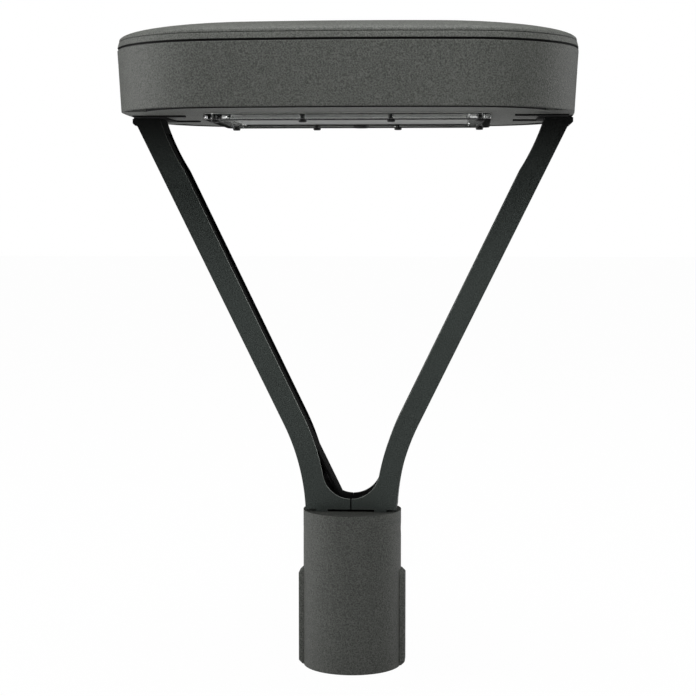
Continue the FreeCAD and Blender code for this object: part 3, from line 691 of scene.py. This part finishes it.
def makeSleeve(look):
    radius, height, boreTop = look["radius"], look["height"], look["boreTop"]
    piece = rod("poleSleeve", radius, 0, height, sides=160)
    edit(piece)
    for z, width, steps in ((height, look["rimEdge"], 4), (0, look["footEdge"], 2)):
        pick(piece, "EDGE", lambda edge: isAtHeight(edge, z))
        bpy.ops.mesh.bevel(offset=width * mm, segments=steps)
    leaveEdit()
    for side in (-1, 1):
        carve(piece, sleeveRib(look, side), "UNION")
    carve(piece, rod("bore", look["bore"], -past, boreTop, sides=128))
    carve(piece, rod("cableWay", look["cableRadius"], boreTop - past, height + past, sides=64))
    for z in look["holes"]:
        carve(piece, sideRod("holes", look["holeRadius"], -look["toolReach"], look["toolReach"], z, 40))
    for side in (-1, 1):
        reach = sorted((side * (radius - look["spotDepth"]), side * look["toolReach"]))
        carve(piece, sideRod("spotFace", look["spotRadius"], *reach, look["holes"][1]))
    finished(piece, "coated_casting", "pole_sleeve")
    # painted shade: the sleeve's round faces are darker than its ribs
    shadePaint(piece, look["shadePaint"], lambda place, facing: place.xy.length < radius + hair)


# arms: channel section, outer and inner edges tangent to arcs round one centre

arm = {"footZ": 143.4, "footHalf": 40.3, "footDrop": 8.6, "arc": 193.0, "web": 19.0, "halfDepth": 19.0,
       "wall": 3.0, "valley": 9.6, "topZ": 489.9, "lip": 6.2, "lipCorner": 2.2, "block": 12.0, "endX": 193.3,
       "outStep": 3.9, "neckStep": 26.5, "rootStep": 24.2, "waistDrop": 45.0, "bow": 1.6, "seam": 0.3,
       "footPlate": 8.0, "pad": (21.0, 31.5), "padLow": 141.4, "padBite": 1.0, "edge": 0.7,
       "longSteps": 30, "bowSteps": 8, "valleySteps": 20, "innerValleySteps": 16}


def tangentTurn(x, z, centreX, centreZ, radius):
    dx, dz = x - centreX, z - centreZ
    return math.atan2(dz, dx) + math.acos(radius / math.hypot(dx, dz))


def drawTo(place, target):
    drawBy(target[0] - place[0], 0, target[1] - place[1])
    return target


def around(centre, radius, turn):
    return centre[0] + radius * math.cos(turn), centre[1] + radius * math.sin(turn)


def sweepTo(centre, radius, start, end, steps):
    turnBy(steps, abs(end - start), centre[0], 0, centre[1], (0, 1 if end > start else -1, 0))
    return around(centre, radius, end)


def onLine(a, b, z):
    share = (z - a[1]) / (b[1] - a[1])
    return a[0] + (b[0] - a[0]) * share, z


def shifted(point, start, end):
    return point[0] + end[0] - start[0], point[1] + end[1] - start[1]


def thickened(piece, depth):
    bpy.ops.mesh.edge_face_add()
    bpy.ops.mesh.extrude_region_move(TRANSFORM_OT_translate={"value": (0, depth * mm, 0)})
    faceOutwards()
    return piece


def armLines(look):
    centre = (look["footHalf"] + look["arc"], look["footZ"] - look["footDrop"])
    outer, inner = look["arc"], look["arc"] + look["web"]
    valleyZ = look["footZ"] + look["valley"]
    drop = inner - valleyZ
    valleyTop = (centre[0] ** 2 + centre[1] ** 2 - drop ** 2) / (2 * (centre[1] + drop))
    lipZ = look["topZ"] - look["lip"]
    outTop = (look["endX"] - look["outStep"], lipZ)
    inTop = (look["endX"] - look["neckStep"], lipZ)
    return {"centre": centre, "outer": outer, "inner": inner, "valleyCentre": (0.0, valleyTop),
            "valley": valleyTop - valleyZ, "outTop": outTop, "inTop": inTop, "lipZ": lipZ,
            "outTurn": tangentTurn(*outTop, *centre, outer), "inTurn": tangentTurn(*inTop, *centre, inner),
            "valleyTurn": math.atan2(centre[1] - valleyTop, centre[0])}


def bowFrom(look, root, waist):  # the shallow arc under the head, from the root down to the waist
    chordX, chordZ = root[0] - waist[0], root[1] - waist[1]
    length = math.hypot(chordX, chordZ)
    radius = (length / 2) ** 2 / (2 * look["bow"]) + look["bow"] / 2
    reach = radius - look["bow"]
    centre = ((root[0] + waist[0]) / 2 - chordZ / length * reach,
              (root[1] + waist[1]) / 2 + chordX / length * reach)
    start, end = [math.atan2(point[1] - centre[1], point[0] - centre[0]) for point in (root, waist)]
    return centre, radius, start, end


def armSide(look, line):
    centre, valley, half = line["centre"], line["valleyCentre"], look["halfDepth"]
    topZ, endX, corner, steps = look["topZ"], look["endX"], look["lipCorner"], look["longSteps"]
    lowTurn = math.asin(look["seam"] / 2 / line["valley"]) - math.pi / 2
    footTurn = math.pi - math.asin(look["footDrop"] / line["outer"])
    inHigh = around(centre, line["inner"], line["inTurn"])
    waist = onLine(inHigh, line["inTop"], topZ - look["waistDrop"])
    root = (endX - look["rootStep"], topZ)
    place = (look["seam"] / 2, look["footZ"])
    piece = startPoint("armRight", place[0], -half, place[1])
    place = drawTo(place, around(centre, line["outer"], footTurn))
    place = sweepTo(centre, line["outer"], footTurn, line["outTurn"], steps)
    lipCorner = [(endX - corner, line["lipZ"]), (endX, line["lipZ"] + corner)]
    for target in [line["outTop"]] + lipCorner + [(endX, topZ), root]:
        place = drawTo(place, target)
    place = sweepTo(*bowFrom(look, root, waist), look["bowSteps"])
    place = drawTo(place, inHigh)
    place = sweepTo(centre, line["inner"], line["inTurn"], math.pi + line["valleyTurn"], steps)
    sweepTo(valley, line["valley"], line["valleyTurn"], lowTurn, look["valleySteps"])
    bpy.ops.mesh.select_all(action="SELECT")
    return thickened(piece, 2 * half)


def armChannel(look, line):
    centre, valley = line["centre"], line["valleyCentre"]
    half, steps = look["halfDepth"] - look["wall"], look["longSteps"]
    web, opening = line["outer"] + look["wall"], line["inner"] + 2 * look["wall"]
    ceiling = look["topZ"] - look["block"]
    webHigh = around(centre, web, line["outTurn"])
    edgeHigh = around(centre, line["outer"], line["outTurn"])
    webTop = onLine(webHigh, shifted(webHigh, edgeHigh, line["outTop"]), ceiling)
    openHigh = around(centre, opening, line["inTurn"])
    innerHigh = around(centre, line["inner"], line["inTurn"])
    openTop = onLine(openHigh, shifted(openHigh, innerHigh, line["inTop"]), ceiling)
    under = line["valley"] + look["wall"]
    footTop = look["footZ"] + look["footPlate"]
    lowTurn = -math.asin((valley[1] - footTop) / under)
    webLow = math.pi - math.asin((footTop - centre[1]) / web)
    place = around(valley, under, lowTurn)
    piece = startPoint("channel", place[0], -half, place[1])
    place = drawTo(place, around(centre, web, webLow))
    place = sweepTo(centre, web, webLow, line["outTurn"], steps)
    for target in (webTop, openTop, openHigh):
        place = drawTo(place, target)
    place = sweepTo(centre, opening, line["inTurn"], math.pi + line["valleyTurn"], steps)
    drawTo(place, around(valley, under, line["valleyTurn"]))
    sweepTo(valley, under, line["valleyTurn"], lowTurn, look["innerValleySteps"])
    closeUp()
    return thickened(piece, 2 * half)


def makeArms(look):
    line = armLines(look)
    right = armSide(look, line)
    carve(right, armChannel(look, line))
    pad = brick("pad", look["pad"], (-look["halfDepth"], look["halfDepth"]),
                (look["padLow"], look["footZ"] + look["padBite"]))
    carve(right, pad, "UNION")
    softEdges(right, look["edge"], 2, 38)
    pickAlone(right)
    bpy.ops.object.duplicate()
    left = named("armLeft")
    left.scale.x = -1
    bpy.ops.object.transform_apply(location=True, rotation=True, scale=True)
    edit(left)
    faceOutwards()
    finished(right, "coated_arm", "arm_right")
    finished(left, "coated_arm", "arm_left")


# lens plate: clear rim round a recessed field, lens domes on its upper side

plate = {"size": (244.0, 160.0, 8.0), "low": 485.7, "top": 490.3, "edge": 0.8, "recess": (208.0, 120.0, 4.0),
         "skin": 2.2, "domes": (8, 4), "pitch": (27.0, 29.0), "domeRadius": 8.4, "domeHeight": 1.3,
         "domeRoot": 0.6,  # share of the skin that a dome reaches into
         "screwPitch": 75.1, "screwY": 69.8, "screwRadius": 2.2, "seatRadius": 3.6, "sink": 1.0}


def screwPlaces(look):
    return [((i - 1.5) * look["screwPitch"], side * look["screwY"]) for i in range(4) for side in (-1, 1)]


def domePlaces(look):
    columns, rows = look["domes"]
    return [((i - (columns - 1) / 2) * look["pitch"][0], (j - (rows - 1) / 2) * look["pitch"][1])
            for i in range(columns) for j in range(rows)]


def lensDome(look):
    radius, height, top = look["domeRadius"], look["domeHeight"], look["top"]
    ball = (radius ** 2 + height ** 2) / (2 * height)
    deselectAll()
    bpy.ops.mesh.primitive_uv_sphere_add(segments=32, ring_count=64, radius=ball * mm,
                                         location=(0, 0, (top + height - ball) * mm))
    dome = named("dome")
    bpy.ops.object.transform_apply(location=True, rotation=True, scale=True)
    edit(dome)
    pick(dome, "VERT", lambda v: v.co.z < (top - look["skin"] * look["domeRoot"]) * mm)
    bpy.ops.mesh.delete(type="VERT")
    pick(dome, "EDGE", lambda edge: edge.is_boundary)
    bpy.ops.mesh.edge_face_add()
    faceOutwards()
    return dome


def makePlate(look):
    low, top = look["low"], look["top"]
    piece = softBrick("lensPlate", *look["size"], low, top)
    edit(piece)
    pick(piece, "EDGE", lambda edge: isAtHeight(edge, low))
    bpy.ops.mesh.bevel(offset=look["edge"] * mm, segments=3)
    leaveEdit()
    carve(piece, softBrick("recess", *look["recess"], low - past, top - look["skin"]))
    dome = lensDome(look)
    for x, y in domePlaces(look):
        carve(piece, copied(dome, x, y), "UNION")
    bpy.data.objects.remove(dome)
    for x, y in screwPlaces(look):
        carve(piece, rod("hole", look["screwRadius"], low - past, top + past, x, y, 24))
        carve(piece, rod("seat", look["seatRadius"], low - past, low + look["sink"], x, y, 32))
    finished(piece, "clear_lens", "lens_plate", smooth=25)


makeHousing(housing)
print("lower housing done")
makeCover(cover)
print("top cover done")
makeSleeve(sleeve)
print("sleeve done")
makeArms(arm)
print("arms done")
makePlate(plate)
print("lens plate done")


# floor, light and camera

studio = {"world": 0.02, "worldGlossy": 0.015, "floorSize": 30, "floor": 0.6, "floorRough": 0.9,
          "floorGlossy": 0.55, "floorShown": 0.985, "floorFar": 0.2, "near": 2.0, "far": 4.5}


def shownWhite(tree, glossy, near=1.0):  # white to the camera and through glass, dimmer in gloss
    path = tree.nodes.new("ShaderNodeLightPath")
    gloss = reckon(tree, "MULTIPLY", reckon(tree, "MULTIPLY", path.outputs["Is Glossy Ray"], near), glossy)
    seen = reckon(tree, "MAXIMUM", path.outputs["Is Camera Ray"], path.outputs["Is Transmission Ray"])
    return reckon(tree, "MAXIMUM", seen, gloss)


def makeFloor(look):
    deselectAll()
    bpy.ops.mesh.primitive_plane_add(size=look["floorSize"], location=(0, 0, 0))
    floor = named("studioFloor")
    material, tree, shader = newMaterial("studioFloor", [look["floor"]] * 3, look["floorRough"])
    away = tree.nodes.new("ShaderNodeVectorMath")
    away.operation = "LENGTH"
    plug(tree, objectPoint(tree), away.inputs[0])
    near = fade(tree, away.outputs["Value"], look["far"], look["near"])  # the studio is darker further out
    pale = ramp(tree, near, ((0.0, [look["floorFar"]] * 3), (1.0, [look["floor"]] * 3)))
    plug(tree, pale, shader.inputs["Base Color"])
    glow = tree.nodes.new("ShaderNodeEmission")
    plug(tree, 1.0, glow.inputs["Strength"])
    shown = reckon(tree, "MULTIPLY", shownWhite(tree, look["floorGlossy"], near), look["floorShown"])
    surface = blendShader(tree, shown, shader.outputs[0], glow.outputs[0])
    plug(tree, surface, tree.nodes["Material Output"].inputs["Surface"])
    floor.data.materials.append(material)


def makeWorld(look):
    world = bpy.data.worlds.new("studio")
    bpy.context.scene.world = world
    world.use_nodes = True
    tree = world.node_tree
    lit, shown = tree.nodes["Background"], tree.nodes.new("ShaderNodeBackground")
    for back, strength in ((lit, look["world"]), (shown, 1.0)):
        plug(tree, (1, 1, 1), back.inputs["Color"])
        plug(tree, strength, back.inputs["Strength"])
    surface = blendShader(tree, shownWhite(tree, look["worldGlossy"]), lit.outputs[0], shown.outputs[0])
    plug(tree, surface, tree.nodes["World Output"].inputs["Surface"])


lamps = {
    "leftBox": {"place": (-2.7, 0.1, 0.9), "aim": (0, 0, 0.4), "size": (0.9, 1.4), "power": 50},
    "rightBox": {"place": (2.3, 1.35, 0.9), "aim": (0, 0, 0.4), "size": (0.8, 1.4), "power": 24},
    "frontBox": {"place": (0.2, -2.4, 2.2), "aim": (0, 0, 0.4), "size": (1.4, 1.0), "power": 46},
    "topBox": {"place": (0.0, -0.3, 2.8), "aim": (0, 0, 0.5), "size": (1.4, 1.2), "power": 75},
}


def makeLamp(name, look):
    lamp = bpy.data.lights.new(name, "AREA")
    lamp.shape = "RECTANGLE"
    lamp.size, lamp.size_y = look["size"]
    lamp.energy = look["power"]
    holder = bpy.data.objects.new(name, lamp)
    bpy.context.scene.collection.objects.link(holder)
    holder.location = look["place"]
    holder.rotation_euler = (Vector(look["aim"]) - Vector(look["place"])).to_track_quat("-Z", "Y").to_euler()


# the camera stands a little to the right of the front and looks slightly down
cameraView = {"place": (0.10437, -1.53090, 0.40604), "turn": 0.0706, "lookDown": 0.0778, "lens": 88.93,
              "sensor": 36, "nearest": 0.05}


def makeCamera(view):
    camera = bpy.data.objects.new("camera", bpy.data.cameras.new("camera"))
    bpy.context.scene.collection.objects.link(camera)
    camera.location = view["place"]
    camera.rotation_euler = (math.pi / 2 - view["lookDown"], 0, view["turn"])
    camera.data.lens = view["lens"]
    camera.data.sensor_width = view["sensor"]
    camera.data.clip_start = view["nearest"]
    bpy.context.scene.camera = camera


makeFloor(studio)
makeWorld(studio)
for name, look in lamps.items():
    makeLamp(name, look)
makeCamera(cameraView)
bpy.context.scene.view_settings.view_transform = "Standard"
print("light and camera done")
